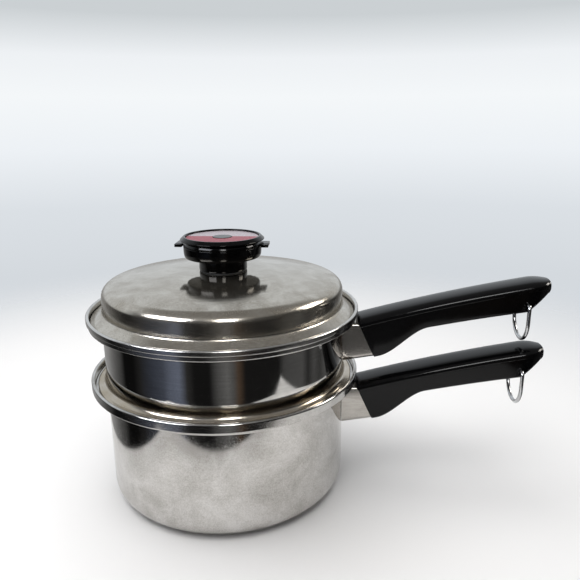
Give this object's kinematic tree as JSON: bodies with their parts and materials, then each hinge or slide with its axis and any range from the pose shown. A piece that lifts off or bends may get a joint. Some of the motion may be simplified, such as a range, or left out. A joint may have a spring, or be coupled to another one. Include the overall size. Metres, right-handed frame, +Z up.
{
  "type": "stovetop steamer pot",
  "caption": "Stainless saucepan with a nesting perforated steamer pan and a domed lid with a turning vent knob; black phenolic handles with wire hang rings.",
  "frame": {"origin": "centre of the saucepan's flat underside", "axes": "+Z up along the pans' common axis, +X along both handles towards their tips"},
  "size_m": [0.3262, 0.1938, 0.1873],
  "materials": {
    "saucepan_steel": "worn satin",
    "steamer_steel": "polished",
    "lid_steel": "polished, scuffed on top",
    "bracket_steel": "satin",
    "wire_steel": "bright",
    "plain_steel": "plain",
    "phenolic": "gloss",
    "silicone": "matte",
    "brass": "machined",
    "red_foil": "foil"
  },
  "bodies": {
    "saucepan": {"saucepan_body": "saucepan_steel", "saucepan_handle_bracket": "bracket_steel", "saucepan_handle_tang": "plain_steel", "saucepan_handle_grip": "phenolic", "saucepan_grip_washer": "plain_steel", "saucepan_grip_screw": "plain_steel"},
    "saucepan_ring": {"saucepan_hang_ring": "wire_steel"},
    "steamer": {"steamer_body": "steamer_steel", "steamer_handle_bracket": "bracket_steel", "steamer_handle_tang": "plain_steel", "steamer_handle_grip": "phenolic", "steamer_grip_washer": "plain_steel", "steamer_grip_screw": "plain_steel"},
    "steamer_ring": {"steamer_hang_ring": "wire_steel"},
    "lid": {"lid_shell": "lid_steel", "knob_gasket": "silicone", "knob_pedestal": "phenolic", "knob_insert": "brass", "knob_washer": "plain_steel", "knob_lid_screw": "plain_steel", "knob_barrel": "phenolic", "vent_seal": "silicone", "knob_cap": "phenolic", "knob_cap_screw": "plain_steel", "knob_medallion": "red_foil", "knob_screw_cover": "phenolic"},
    "vent": {"vent_ring": "phenolic"}
  },
  "joints": [
    {"name": "steamer_lift", "type": "slide", "parent": "saucepan", "child": "steamer", "axis": [0, 0, 1], "range_m": [0, 0.1]},
    {"name": "lid_lift", "type": "slide", "parent": "steamer", "child": "lid", "axis": [0, 0, 1], "range_m": [0, 0.08]},
    {"name": "vent_turn", "type": "hinge", "parent": "lid", "child": "vent", "pos_m": [0, 0, 0.18], "axis": [0, 0, 1], "range_deg": [0, 40]},
    {"name": "saucepan_ring_swing", "type": "hinge", "parent": "saucepan", "child": "saucepan_ring", "pos_m": [0.2131, 0, 0.0923], "axis": [0, -1, 0], "range_deg": [-60, 170]},
    {"name": "steamer_ring_swing", "type": "hinge", "parent": "steamer", "child": "steamer_ring", "pos_m": [0.2131, 0, 0.1413], "axis": [0, -1, 0], "range_deg": [-60, 230]}
  ]
}
